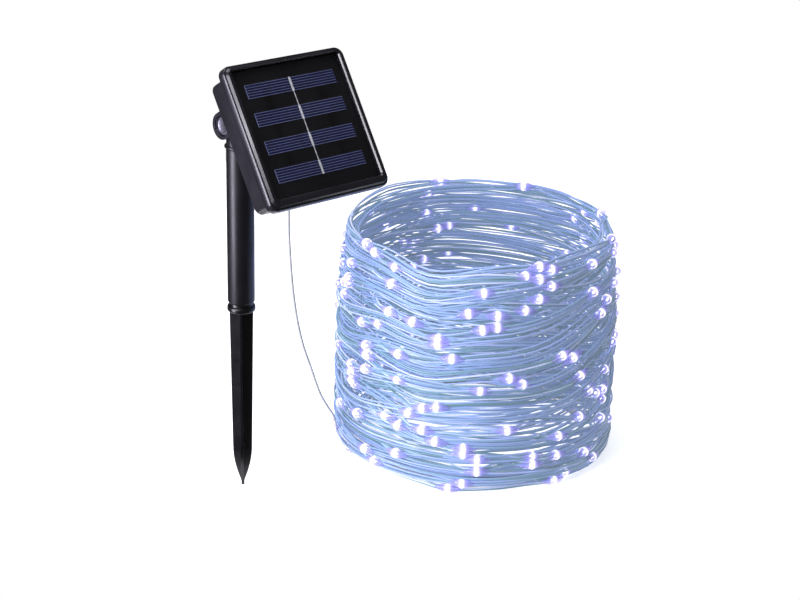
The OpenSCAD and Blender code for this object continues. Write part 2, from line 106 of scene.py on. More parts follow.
def finishMaterial(material, shader):
    output = addNode(material, "ShaderNodeOutputMaterial")
    material.node_tree.links.new(shader.outputs[0], output.inputs["Surface"])
    return material


def ramp(material, factor, stops):
    node = addNode(material, "ShaderNodeValToRGB", {}, {"Fac": factor})
    elements = node.color_ramp.elements
    while len(elements) < len(stops):
        elements.new(0.5)
    for element, (place, colour) in zip(elements, stops):
        element.position = place
        element.color = linearColour(colour)
    return node.outputs["Color"]


def mouldedPlastic(name, low, high, roughness, grainMm, grainDepth, coat=0.0):
    # Injection-moulded plastic: even colour with a faint mottle, the tool's fine grain in the gloss.
    # Real grain is too fine to show, so it is drawn coarser.
    material = startMaterial(name)
    place = addNode(material, "ShaderNodeTexCoord").outputs["Object"]
    mottle = addNode(material, "ShaderNodeTexNoise", {"Scale": 60.0, "Detail": 3.0}, {"Vector": place})
    grainScale = 1000 / grainMm / 2
    grain = addNode(material, "ShaderNodeTexNoise", {"Scale": grainScale, "Detail": 2.0}, {"Vector": place})
    rough = addNode(
        material,
        "ShaderNodeMapRange",
        {"From Min": 0.3, "From Max": 0.7, "To Min": roughness - 0.05, "To Max": roughness + 0.07},
        {"Value": mottle.outputs["Fac"]},
    )
    bump = addNode(
        material,
        "ShaderNodeBump",
        {"Strength": 0.35, "Distance": grainDepth * mm},
        {"Height": grain.outputs["Fac"]},
    )
    shader = addNode(
        material,
        "ShaderNodeBsdfPrincipled",
        {"IOR": 1.52, "Coat Weight": coat, "Coat Roughness": 0.08},
        {
            "Base Color": ramp(material, mottle.outputs["Fac"], [(0.3, low), (0.7, high)]),
            "Roughness": rough.outputs[0],
            "Normal": bump.outputs["Normal"],
        },
    )
    return finishMaterial(material, shader)


def plainMetal(name, low, high, roughness, scaleMm):
    # Plated steel: grey, with marks that change its gloss, drawn coarser than real ones so that they show
    material = startMaterial(name)
    place = addNode(material, "ShaderNodeTexCoord").outputs["Object"]
    marksScale = 1000 / scaleMm
    marks = addNode(material, "ShaderNodeTexNoise", {"Scale": marksScale, "Detail": 4.0}, {"Vector": place})
    rough = addNode(
        material,
        "ShaderNodeMapRange",
        {"To Min": roughness - 0.08, "To Max": roughness + 0.1},
        {"Value": marks.outputs["Fac"]},
    )
    shader = addNode(
        material,
        "ShaderNodeBsdfPrincipled",
        {"Metallic": 1.0},
        {
            "Base Color": ramp(material, marks.outputs["Fac"], [(0.25, low), (0.75, high)]),
            "Roughness": rough.outputs[0],
        },
    )
    return finishMaterial(material, shader)


def siliconCells():
    # Polycrystalline silicon: navy blue, with crystals that catch the light a little differently
    material = startMaterial("polycrystallineSilicon")
    place = addNode(material, "ShaderNodeTexCoord").outputs["Object"]
    crystalSet = {"Scale": 420.0, "Randomness": 1.0}
    crystal = addNode(material, "ShaderNodeTexVoronoi", crystalSet, {"Vector": place})
    split = addNode(material, "ShaderNodeSeparateColor", {}, {"Color": crystal.outputs["Color"]})
    blues = [(0.0, "#0A1034"), (0.5, "#10163F"), (1.0, "#171D4C")]
    shader = addNode(
        material,
        "ShaderNodeBsdfPrincipled",
        {"Roughness": 0.35, "IOR": 1.5},
        {"Base Color": ramp(material, split.outputs[0], blues)},
    )
    return finishMaterial(material, shader)


def clearSheet(name, colour, alpha):
    # Clear PET laminate: a thin glossy skin that hardly darkens what lies under it
    material = startMaterial(name)
    place = addNode(material, "ShaderNodeTexCoord").outputs["Object"]
    ripple = addNode(material, "ShaderNodeTexNoise", {"Scale": 35.0, "Detail": 1.0}, {"Vector": place})
    rippleSet = {"Strength": 0.04, "Distance": 0.0004}
    bump = addNode(material, "ShaderNodeBump", rippleSet, {"Height": ripple.outputs["Fac"]})
    shader = addNode(
        material,
        "ShaderNodeBsdfPrincipled",
        {"Base Color": linearColour(colour), "Alpha": alpha, "Roughness": 0.12, "IOR": 1.5},
        {"Normal": bump.outputs["Normal"]},
    )
    return finishMaterial(material, shader)


def clearPvc():
    # Clear PVC over two tinned cores: pale grey, with light spread inside it
    material = startMaterial("clearPvc")
    place = addNode(material, "ShaderNodeTexCoord").outputs["Object"]
    cloud = addNode(material, "ShaderNodeTexNoise", {"Scale": 300.0, "Detail": 2.0}, {"Vector": place})
    shader = addNode(
        material,
        "ShaderNodeBsdfPrincipled",
        {
            "Roughness": 0.4, "IOR": 1.53, "Subsurface Weight": 0.8, "Subsurface Scale": 0.001,
            "Subsurface Radius": (1, 1, 1),
        },
        {"Base Color": ramp(material, cloud.outputs["Fac"], [(0.3, "#B2B5B7"), (0.7, "#BDBFC1")])},
    )
    return finishMaterial(material, shader)


def insulatedWire():
    # Silvered wire in clear insulation: a cool blue-grey that changes from wire to wire,
    # with a faint painted glow that stands in for its lamps' light and lifts the shade between wires
    material = startMaterial("clearInsulatedWire")
    tone = addNode(material, "ShaderNodeAttribute", {"attribute_name": "tone"}).outputs["Fac"]
    colour = ramp(
        material,
        tone,
        [(0.0, "#527E88"), (0.25, "#6D97AC"), (0.5, "#86A2D6"), (0.75, "#A2B6E6"), (1.0, "#D2DCF4")],
    )
    # the emission is a painted glow, not a lamp
    shader = addNode(
        material,
        "ShaderNodeBsdfPrincipled",
        {"Roughness": 0.32, "IOR": 1.5, "Emission Color": linearColour("#BCCAE0"), "Emission Strength": 0.2},
        {"Base Color": colour},
    )
    return finishMaterial(material, shader)


def litResin():
    # Clear epoxy drop over a cold white light, with the light painted on it as a glow: white in the middle,
    # lavender towards its tips
    material = startMaterial("litEpoxyDrop")
    glow = addNode(material, "ShaderNodeAttribute", {"attribute_name": "glow"}).outputs["Fac"]
    lavenders = [(0.0, "#A096EA"), (0.35, "#B4A8F0"), (0.7, "#DCD4FC"), (1.0, "#FFFFFF")]
    colour = ramp(material, glow, lavenders)
    strength = addNode(material, "ShaderNodeMapRange", {"To Min": 0.16, "To Max": 1.0}, {"Value": glow})
    cover = addNode(material, "ShaderNodeMapRange", {"To Min": 0.4, "To Max": 1.0}, {"Value": glow})
    shader = addNode(
        material,
        "ShaderNodeBsdfPrincipled",
        {"Roughness": 0.12, "IOR": 1.52},
        {
            "Base Color": colour,
            "Emission Color": colour,
            "Emission Strength": strength.outputs[0],
            "Alpha": cover.outputs[0],
        },
    )
    return finishMaterial(material, shader)


def litChip():
    # The light itself: a small white lamp, full on
    material = startMaterial("whiteLamp")
    white = linearColour("#FFFFFF")
    shader = addNode(
        material,
        "ShaderNodeBsdfPrincipled",
        {"Base Color": white, "Emission Color": white, "Emission Strength": 3.0},
    )
    return finishMaterial(material, shader)


finishes = {
    # extruded ABS tube and its stem: near black, a soft gloss down one side
    "poleAbs": mouldedPlastic("glossyBlackAbs", "#0B0A0F", "#100E14", 0.4, 0.8, 0.002),
    # ABS from a grained mould: charcoal, its highlights spread wide
    "housingAbs": mouldedPlastic("grainedBlackAbs", "#18171D", "#1E1D24", 0.38, 0.5, 0.006),
    # ABS from a polished mould: charcoal, with thin bright lines along its edges
    "bezelAbs": mouldedPlastic("polishedBlackAbs", "#17161C", "#1D1C23", 0.28, 0.8, 0.0004, 0.2),
    # polypropylene: the darkest part, a waxy sheen
    "spikePp": mouldedPlastic("blackPolypropylene", "#060608", "#0A090C", 0.3, 0.6, 0.004),
    # printed backing under the cover: flat black
    "panelBlack": mouldedPlastic("blackLaminate", "#08080A", "#0B0B0E", 0.5, 3.0, 0.001),
    # tape over the joints between cells: a shade blacker than the backing
    "linkBlack": mouldedPlastic("linkTape", "#020201", "#050403", 0.45, 0.6, 0.01),
    # inside parts: unpolished dark grey ABS
    "innerAbs": mouldedPlastic("innerAbs", "#34343A", "#3C3C42", 0.5, 0.6, 0.02),
    # rubber parts: dull, with no clear highlight
    "sealRubber": mouldedPlastic("blackRubber", "#151517", "#1D1D20", 0.62, 0.3, 0.03),
    "buttonRubber": mouldedPlastic("greyRubber", "#3A3A40", "#46464C", 0.55, 0.3, 0.03),
    "redRubber": mouldedPlastic("redRubber", "#7E1717", "#8E2020", 0.5, 0.3, 0.03),
    # gasket foam: quite matt, rough to the light
    "foam": mouldedPlastic("gasketFoam", "#2C2C2E", "#3A3A3C", 0.85, 0.3, 0.1),
    # circuit board, chips and battery: green mask, dull epoxy, shiny shrink wrap
    "boardGreen": mouldedPlastic("solderMask", "#0C4A25", "#125A2E", 0.3, 1.0, 0.01),
    "chipBlack": mouldedPlastic("chipEpoxy", "#141416", "#1C1C1F", 0.5, 0.3, 0.02),
    "batteryWrap": mouldedPlastic("batteryShrinkWrap", "#14602E", "#1B7038", 0.25, 2.0, 0.01),
    # PVC on hook-up wire: plain colour, slightly shiny
    "redWire": mouldedPlastic("redWirePvc", "#A81818", "#B82222", 0.35, 0.6, 0.01),
    "blackWire": mouldedPlastic("blackWirePvc", "#141414", "#1C1C1C", 0.35, 0.6, 0.01),
    # heat-shrink sleeve: milky white
    "sleeve": mouldedPlastic("milkySleeve", "#D2D6DE", "#E2E6EC", 0.35, 0.6, 0.01),
    # zinc or nickel on steel: bright grey, the bolt's a little violet
    "steel": plainMetal("zincPlatedSteel", "#B0B2B8", "#CBCDD2", 0.3, 0.5),
    "boltSteel": plainMetal("nickelPlatedSteel", "#B9B6C6", "#D6D3E2", 0.28, 0.6),
    # the ribbon's tinned metal is drawn pale and dull, with no metal shine: its near-white is a painted
    # reflection; the fingers are printed silver paste, also dull
    "ribbon": mouldedPlastic("paleRibbonPaintedShine", "#D9DAE0", "#F4F4F8", 0.5, 0.5, 0.01),
    "finger": mouldedPlastic("silverPaste", "#8088BC", "#949CCC", 0.6, 0.4, 0.002),
    "silicon": siliconCells(),
    "cover": clearSheet("clearLaminate", "#16171C", 0.1),
    "pvc": clearPvc(),
    "wire": insulatedWire(),
    "drop": litResin(),
    "lamp": litChip(),
}
print("materials done")


# helpers for modelling
def selectOnly(pieces):
    bpy.ops.object.select_all(action="DESELECT")
    for piece in pieces:
        piece.select_set(True)
    bpy.context.view_layer.objects.active = pieces[0]


def joinPieces(pieces, name):
    selectOnly(pieces)
    bpy.ops.object.join()
    pieces[0].name = pieces[0].data.name = name
    return pieces[0]


def startEdit(piece):
    selectOnly([piece])
    bpy.ops.object.mode_set(mode="EDIT")
    bpy.ops.mesh.select_all(action="DESELECT")


def endEdit():
    bpy.ops.object.mode_set(mode="OBJECT")


def endOutwards():
    # turns every face outwards before it leaves edit mode
    bpy.ops.mesh.select_all(action="SELECT")
    bpy.ops.mesh.normals_make_consistent(inside=False)
    endEdit()


def pick(piece, kind, test):
    # selects the faces, edges or points of the piece in edit mode that pass the test
    bpy.ops.mesh.select_mode(type=kind)
    bpy.ops.mesh.select_all(action="DESELECT")
    net = bmesh.from_edit_mesh(piece.data)
    group = {"FACE": net.faces, "EDGE": net.edges, "VERT": net.verts}[kind]
    for part in group:
        part.select_set(test(part))
    net.select_flush_mode()
    bmesh.update_edit_mesh(piece.data)


def isCap(face, levels):
    # a many-sided face that closes a turned piece or a frame at one of these levels
    return len(face.verts) > 8 and min(abs(face.calc_center_median().z - level) for level in levels) < 1e-6


def addBox(name, low, high):
    bpy.ops.object.select_all(action="DESELECT")
    centre = [(a + b) / 2 * mm for a, b in zip(low, high)]
    bpy.ops.mesh.primitive_cube_add(size=1, location=centre)
    box = bpy.context.object
    box.name = box.data.name = name
    box.scale = [(b - a) * mm for a, b in zip(low, high)]
    bpy.ops.object.transform_apply(location=True, rotation=True, scale=True)
    return box


def isUpright(edge):
    a, b = (v.co for v in edge.verts)
    return (a.xy - b.xy).length < 1e-6


def roundUprights(box, radius, steps=8):
    startEdit(box)
    pick(box, "EDGE", isUpright)
    bpy.ops.mesh.bevel(offset=radius * mm, segments=steps, affect="EDGES")
    endEdit()


def pickEnd(piece, top):
    # selects the flat face at the top or bottom of a piece in edit mode
    zs = [v.co.z for v in bmesh.from_edit_mesh(piece.data).verts]
    level = max(zs) if top else min(zs)
    pick(piece, "FACE", lambda f: all(abs(v.co.z - level) < 1e-6 for v in f.verts))


def pullUp(rise):
    bpy.ops.mesh.extrude_region_move(TRANSFORM_OT_translate={"value": (0, 0, rise)})


def turned(name, rings, sides=48, centre=(0, 0)):
    # a turned piece: a disc pulled up ring by ring, each ring a radius and a height
    bpy.ops.object.select_all(action="DESELECT")
    radius, height = rings[0]
    start = (centre[0] * mm, centre[1] * mm, height * mm)
    bpy.ops.mesh.primitive_circle_add(vertices=sides, radius=radius * mm, fill_type="NGON", location=start)
    piece = bpy.context.object
    piece.name = piece.data.name = name
    bpy.ops.object.transform_apply(location=True, rotation=True, scale=True)
    bpy.ops.object.mode_set(mode="EDIT")
    bpy.ops.mesh.select_all(action="SELECT")
    for nextRadius, nextHeight in rings[1:]:
        pullUp((nextHeight - height) * mm)
        bpy.ops.transform.resize(
            value=(nextRadius / radius, nextRadius / radius, 1),
            center_override=(centre[0] * mm, centre[1] * mm, nextHeight * mm),
        )
        radius, height = nextRadius, nextHeight
    endOutwards()
    return piece


def combine(piece, other, operation="UNION"):
    # joins the other piece to this one, or cuts it out, and removes it
    cut = piece.modifiers.new("cut", "BOOLEAN")
    cut.operation = operation
    cut.solver = "EXACT"
    cut.object = other
    bpy.context.view_layer.objects.active = piece
    bpy.ops.object.modifier_apply(modifier=cut.name)
    bpy.data.objects.remove(other, do_unlink=True)


def softenEdges(piece, width, steps=2, angle=35):
    soften = piece.modifiers.new("soften", "BEVEL")
    soften.width = width * mm
    soften.segments = steps
    soften.limit_method = "ANGLE"
    soften.angle_limit = math.radians(angle)
    soften.miter_outer = "MITER_ARC"
    bpy.context.view_layer.objects.active = piece
    bpy.ops.object.modifier_apply(modifier=soften.name)


def smooth(piece, angle=35):
    selectOnly([piece])
    bpy.ops.object.shade_smooth_by_angle(angle=math.radians(angle))


def along(piece, start, turn):
    # turns a piece made upright at the origin and moves it to its place
    piece.data.transform(Matrix.Translation(Vector(start) * mm) @ turn)


def finish(piece, body, finishName, nodes=(), matrix=None):
    if matrix is not None:
        piece.data.transform(matrix)
    piece.data.materials.clear()
    piece.data.materials.append(finishes[finishName])
    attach(piece, body)
    if nodes:
        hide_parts(*nodes)
    return piece


# the cord, in mm and degrees: lead, splice, string and drops
leadSet = {
    "thick": 1.3, "sides": 10, "split": 8, "stepsPerPoint": 6, "woundTurns": 4.2, "stepsPerTurn": 40,
    "startRadius": 81.2, "innerRadius": 66,
}
leadRoute = [
    (29.8, -30.1, 181.6), (28.4, -28.5, 180.2), (27.4, -27.4, 178.2), (27, -27, 175),
    (27, -26.8, 166), (27.2, -26.2, 154), (28.2, -23, 134), (29.2, -16, 117), (30.8, -8, 100),
    (33.2, 0, 84), (36.8, 8.5, 68), (41.4, 19, 48), (45.4, 29, 35), (48.2, 39, 25),
    (49.4, 47, 16), (49.6, 55, 9),
]
coil = {
    "x": 129, "y": 74, "radius": 82, "height": 134, "taper": 5, "turns": 61, "passes": 8,
    "dip": 6, "dipAt": 248, "dipWidth": 16, "edge": 1.4, "tilt": 10, "bowLength": 11,
}
# Real wires are probably half as thick; these are thicker so that they show and the coil's wall closes
string = {"wires": 4, "wireThick": 1.05, "width": 3.0, "apart": 1.42, "stepsPerTurn": 64, "sides": 5}
drops = {"count": 200, "length": 15, "thick": 5.8, "chip": (2.4, 1.6, 1.2)}


def curvePoint(points, i, t):
    # Catmull-Rom through the route's points
    last = len(points) - 1
    a, b, c, d = (np.array(points[min(max(k, 0), last)], float) for k in (i - 1, i, i + 1, i + 2))
    return 0.5 * (2 * b + (c - a) * t + (2 * a - 5 * b + 4 * c - d) * t * t + (3 * b - a - 3 * c + d) * t**3)


def smoothRoute(points, steps):
    made = [curvePoint(points, i, k / steps) for i in range(len(points) - 1) for k in range(steps)]
    return np.array(made + [np.array(points[-1], float)])


def routeLength(points):
    return float(np.linalg.norm(np.diff(points, axis=0), axis=1).sum())


def tubeMesh(name, routes, thick, sides, tones=None):
    # round tubes swept along routes given in mm; the side directions are carried along each route
    verts, faces, tone = [], [], []
    turnAngles = np.arange(sides) * 2 * math.pi / sides
    for index, route in enumerate(routes):
        heading = np.gradient(route, axis=0)
        heading /= np.linalg.norm(heading, axis=1)[:, None]
        side = np.cross(heading, (0.01, 0.02, 1.0))
        side /= np.linalg.norm(side, axis=1)[:, None]
        up = np.cross(side, heading)
        ring = side[:, None, :] * np.cos(turnAngles)[None, :, None]
        ring = ring + up[:, None, :] * np.sin(turnAngles)[None, :, None]
        base = len(verts)
        points = (route[:, None, :] + ring * thick / 2).reshape(-1, 3) * mm
        verts.extend(map(tuple, points))
        n = len(route)
        faces += [
            (base + i * sides + k, base + i * sides + (k + 1) % sides,
             base + (i + 1) * sides + (k + 1) % sides, base + (i + 1) * sides + k)
            for i in range(n - 1)
            for k in range(sides)
        ]
        faces.append(tuple(base + k for k in reversed(range(sides))))
        faces.append(tuple(base + (n - 1) * sides + k for k in range(sides)))
        if tones is not None:
            tone.append(np.repeat(tones[index], sides))
    mesh = bpy.data.meshes.new(name)
    mesh.from_pydata(verts, [], faces)
    mesh.polygons.foreach_set("use_smooth", [True] * len(mesh.polygons))
    if tones is not None:
        mesh.attributes.new("tone", "FLOAT", "POINT").data.foreach_set("value", np.concatenate(tone))
    piece = bpy.data.objects.new(name, mesh)
    bpy.context.scene.collection.objects.link(piece)
    startEdit(piece)
    endOutwards()
    return piece


def leadWinding():
    # the rest of the lead goes in under the string and lies round the inside of the coil, at its foot
    start = np.array(leadRoute[-1])
    angle0 = math.atan2(start[1] - coil["y"], start[0] - coil["x"])
    points = []
    steps = int(leadSet["woundTurns"] * leadSet["stepsPerTurn"])
    for i in range(1, steps + 1):
        u = i / steps
        angle = angle0 + 2 * math.pi * leadSet["woundTurns"] * u
        ease = min(1.0, u * leadSet["woundTurns"] * 3)
        ease = ease * ease * (3 - 2 * ease)
        inner = leadSet["innerRadius"] - 1.5 * math.sin(3.1 * angle) * u
        radius = (1 - ease) * leadSet["startRadius"] + ease * inner
        climb = 1.0 + 1.7 * leadSet["woundTurns"] * u + 0.5 * math.sin(2 * angle)
        height = (1 - ease) * start[2] + ease * climb
        points.append((coil["x"] + radius * math.cos(angle), coil["y"] + radius * math.sin(angle), height))
    return np.array(points)


def makeLead():
    wholeRoute = smoothRoute(leadRoute, leadSet["stepsPerPoint"])
    splitAt = leadSet["split"] * leadSet["stepsPerPoint"]
    upperRoute = wholeRoute[: splitAt + 1]
    lowerRoute = np.vstack([wholeRoute[splitAt:], leadWinding()])
    upper = tubeMesh("lead_upper", [upperRoute], leadSet["thick"], leadSet["sides"])
    lower = tubeMesh("lead_lower", [lowerRoute], leadSet["thick"], leadSet["sides"])
    for piece in (upper, lower):
        piece.data.materials.append(finishes["pvc"])
        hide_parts("lead_cable")
    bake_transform(upper)
    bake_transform(lower)
    return upperRoute, lowerRoute, upper, lower


def stringRoute():
    # The coil's centreline, in mm. It is wound up and down in passes whose turns fall evenly between
    # each other; upward passes lean one way round the coil and downward ones the other, so they cross.
    steps = coil["turns"] * string["stepsPerTurn"]
    u = np.linspace(0, 1, steps + 1)
    angle = 2 * math.pi * coil["turns"] * u
    sweep = np.arccos(np.cos(math.pi * coil["passes"] * u)) / math.pi
    lean = np.tanh(6 * np.sin(math.pi * coil["passes"] * u))
    room = np.clip(3.2 * np.minimum(sweep, 1 - sweep), 0, 1)
    low = coil["edge"]
    turnFromDip = np.degrees(np.arccos(np.cos(angle - math.radians(coil["dipAt"]))))
    high = coil["height"] - coil["edge"] - coil["dip"] * np.exp(-((turnFromDip / coil["dipWidth"]) ** 2))
    tilt = lean * coil["tilt"] * np.sin(angle + 1.3 * sweep - 0.2)
    tilt += 3.2 * np.sin(3 * angle + 2.6 * sweep + lean) + 1.5 * lean * np.sin(5 * angle + 4 * sweep + 1)
    wander = 0.7 * np.sin(2 * math.pi * 31.7 * u + 2 * angle)
    wander = wander + 0.4 * np.sin(2 * math.pi * 57.3 * u + 5 * angle)
    height = low + (high - low) * sweep + tilt * room + wander * (0.15 + 0.85 * room)
    height = np.where(height < low, low + 0.5 * (low - height), height)
    height = np.where(height > high, high - 0.5 * (height - high), height)
    outer = coil["radius"] - coil["taper"] * np.clip((height / coil["height"] - 0.6) / 0.4, 0, 1) ** 1.5
    outer -= 2.5 * np.clip(1 - height / 12, 0, 1) ** 2
    depth = 3.6 + 2.8 * np.sin(2 * math.pi * 6.6 * u + 0.4) + 1.5 * np.sin(2 * angle + 23 * u)
    depth = depth + 0.8 * np.sin(5 * angle + 7)
    # near each light the string bows out to the outside of the coil
    nearest = np.abs(angle[:, None] - dropAngles()[None, :]).min(axis=1)
    bow = np.exp(-((nearest * coil["radius"] / coil["bowLength"]) ** 2))
    depth = np.clip(depth, 0, 9) * (1 - 0.9 * bow)
    radius = outer - 1.2 - depth
    route = np.stack([coil["x"] + radius * np.cos(angle), coil["y"] + radius * np.sin(angle), height], axis=1)
    return angle, route, bow


def dropAngles():
    # even steps along the string, each pushed a little to one side
    step = 2 * math.pi * coil["turns"] / drops["count"]
    pushes = [0.75 * math.sin(12.9898 * i * i + 3 * i) for i in range(drops["count"])]
    return np.array([(i + 0.5) * step + push for i, push in enumerate(pushes)])


def makeString():
    angle, route, bow = stringRoute()
    heading = np.gradient(route, axis=0)
    heading /= np.linalg.norm(heading, axis=1)[:, None]
    out = np.stack([np.cos(angle), np.sin(angle), np.zeros_like(angle)], axis=1)
    up = np.cross(out, heading)
    wires, tones = [], []
    for wire in range(string["wires"]):
        place = wire - (string["wires"] - 1) / 2
        wave = np.sin(angle * 1.31 + 2.1 * wire)
        upward = string["apart"] * place * (1 + 0.2 * wave) * (1 - 0.55 * bow)
        upward = upward + 0.25 * np.sin(angle * 3.3 + 2 * wire)
        outward = 0.8 * np.sin(angle * 0.83 + 2.6 * wire) * (1 - bow)
        wires.append(route + up * upward[:, None] + out * outward[:, None])
        tone = 0.45 + 0.3 * np.sin(angle * 0.173 + 2.1 * wire) + 0.25 * np.sin(angle * 0.71 + 4.2 * wire + 1)
        tones.append(np.clip(tone, 0, 1))
    piece = tubeMesh("string_wires", wires, string["wireThick"], string["sides"], tones)
    piece.data.materials.append(finishes["wire"])
    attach(piece, "stake")
    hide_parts("string_coil")
    return route, angle, piece


def makeDrops(route, angle):
    # one spindle-shaped drop, modelled once and copied along the string
    bpy.ops.object.select_all(action="DESELECT")
    bpy.ops.mesh.primitive_uv_sphere_add(segments=12, ring_count=10, radius=1, rotation=(0, math.pi / 2, 0))
    pattern = bpy.context.object
    bpy.ops.object.transform_apply(location=True, rotation=True, scale=True)
    half, thick = drops["length"] / 2 * mm, drops["thick"] / 2 * mm
    glow = []
    for v in pattern.data.vertices:
        t = v.co.x
        width = math.hypot(v.co.y, v.co.z)
        shape = (1 - abs(t)) ** 0.8 * (1 + 0.4 * abs(t)) if width > 1e-6 else 0
        pull = shape / width if width > 1e-6 else 0
        v.co = Vector((t * half, v.co.y * pull * thick, v.co.z * pull * thick))
        glow.append(math.exp(-((t / 0.26) ** 2)))
    pattern.data.attributes.new("glow", "FLOAT", "POINT").data.foreach_set("value", glow)
    pattern.data.polygons.foreach_set("use_smooth", [True] * len(pattern.data.polygons))
    bpy.ops.object.select_all(action="DESELECT")
    bpy.ops.mesh.primitive_cube_add(size=1)
    chip = bpy.context.object
    chip.scale = [v * mm for v in drops["chip"]]
    bpy.ops.object.transform_apply(location=True, rotation=True, scale=True)
    shells, chips = [], []
    for lamp in dropAngles():
        k = int(np.searchsorted(angle, lamp))
        place, ahead = route[k], route[min(k + 2, len(route) - 1)] - route[max(k - 2, 0)]
        turn = Vector(ahead).to_track_quat("X", "Z").to_matrix().to_4x4()
        for source, group in ((pattern, shells), (chip, chips)):
            copy = bpy.data.objects.new(source.name, source.data.copy())
            copy.data.transform(Matrix.Translation(Vector(place) * mm) @ turn)
            bpy.context.scene.collection.objects.link(copy)
            group.append(copy)
    made = []
    for name, source, group in (("light_drop_shells", pattern, shells), ("light_chips", chip, chips)):
        bpy.data.objects.remove(source, do_unlink=True)
        made.append(joinPieces(group, name))
    finish(made[0], "stake", "drop", ["light_drops"])
    finish(made[1], "stake", "lamp")
    return made


def makeSleeve(name, route, length, thick, node):
    # heat-shrink sleeve: a short tube, swollen in the middle, along the end of the cord
    start, ahead = Vector(route[0]), Vector(route[1] - route[0]).normalized()
    r = thick / 2
    rings = [
        (r * 0.55, 0), (r * 0.8, 0.3), (r, length * 0.2), (r, length * 0.8), (r * 0.8, length - 0.3),
        (r * 0.55, length),
    ]
    piece = turned(name, rings, 20)
    smooth(piece, 50)
    along(piece, start, ahead.to_track_quat("Z", "Y").to_matrix().to_4x4())
    return finish(piece, "stake", "sleeve", [node])


def makeCord():
    upperRoute, lowerRoute, upper, lower = makeLead()
    route, angle, wires = makeString()
    shells, chips = makeDrops(route, angle)
    end = lowerRoute[-1]
    ahead = (lowerRoute[-1] - lowerRoute[-2]) / np.linalg.norm(lowerRoute[-1] - lowerRoute[-2])
    splice = makeSleeve("splice_sleeve", [end - ahead * 4, end], 18, 3.0, "lead_splice")
    last = route[-1]
    lastAhead = (route[-1] - route[-2]) / np.linalg.norm(route[-1] - route[-2])
    tail = makeSleeve("string_tail_sleeve", [last - lastAhead * 2, last], 8, 2.4, "string_end")
    leadLength = round(routeLength(upperRoute) + routeLength(lowerRoute))
    print("cord done: lead", leadLength, "mm, string", round(routeLength(route)), "mm")


makeCord()


# the stake, in mm
spikeSet = {
    "height": 104, "topWidth": 12.6, "waistWidth": 10.4, "waist": 23.6, "thick": 1.6,
    "pin": 1.4, "pinHeight": 2.6,
}
poleSet = {"low": 108.8, "high": 194.3, "radius": 7.25, "bore": 6.05, "plug": 18, "plugRadius": 5.95}
stemSet = {
    "tabHeight": 13, "tabHalfWidth": 4.48, "tabHalfDepth": 5.24,
    "eyeRadius": 7, "eyeHalf": 4.5, "eyeUp": 13.5,
}
hingeBore = 2.15


def bladeHalfWidth(z):
    s = spikeSet
    if z <= s["pinHeight"]:
        return s["pin"] / 2
    if z <= s["waist"]:
        u = (z - s["pinHeight"]) / (s["waist"] - s["pinHeight"])
        return s["pin"] / 2 + (s["waistWidth"] - s["pin"]) / 2 * math.sin(math.pi / 2 * u**0.9)
    u = (z - s["waist"]) / (s["height"] - s["waist"])
    return (s["waistWidth"] + (s["topWidth"] - s["waistWidth"]) * u) / 2


def makeBlade(name):
    s = spikeSet
    blade = addBox(name, (-1, -s["thick"] / 2, 0), (1, s["thick"] / 2, s["height"] + 0.5))
    startEdit(blade)
    pick(blade, "EDGE", isUpright)
    bpy.ops.mesh.subdivide(number_cuts=51)
    endEdit()
    for v in blade.data.vertices:
        v.co.x *= bladeHalfWidth(v.co.z / mm)
    return blade


def makeSpike():
    spike = makeBlade("spike")
    fin = makeBlade("fin")
    fin.data.transform(Matrix.Rotation(math.pi / 2, 4, "Z"))
    combine(spike, fin)
    top = spikeSet["height"]
    r = poleSet["radius"]
    collar = turned(
        "collar",
        [
            (r - 0.5, top), (r + 0.1, top + 0.4), (r + 0.3, top + 1.0), (r + 0.3, top + 2.4),
            (r + 0.1, top + 3.0), (r - 0.5, top + 3.4), (r - 0.8, top + 3.42), (r - 0.8, top + 4.8),
            (poleSet["plugRadius"], top + 4.82), (poleSet["plugRadius"], top + 22.4), (5.4, top + 22.8),
        ],
        64,
    )
    combine(spike, collar)
    softenEdges(spike, 0.25, 2, 50)
    smooth(spike, 40)
    return finish(spike, "stake", "spikePp", ["ground_spike"])


def makePole():
    p = poleSet
    r = p["radius"]
    rings = [
        (p["bore"], p["high"] - 0.3), (p["bore"] + 0.2, p["high"]), (r - 0.45, p["high"]),
        (r - 0.1, p["high"] - 0.2), (r, p["high"] - 0.7), (r, p["low"] + 1.3), (r - 0.25, p["low"] + 0.5),
        (r - 0.8, p["low"]), (p["bore"], p["low"]),
    ]
    pole = turned("pole", rings, 64)
    startEdit(pole)
    ends = (rings[0][1] * mm, rings[-1][1] * mm)
    pick(pole, "FACE", lambda f: isCap(f, ends))
    bpy.ops.mesh.bridge_edge_loops()
    endOutwards()
    smooth(pole, 40)
    return finish(pole, "stake", "poleAbs", ["pole_tube"])


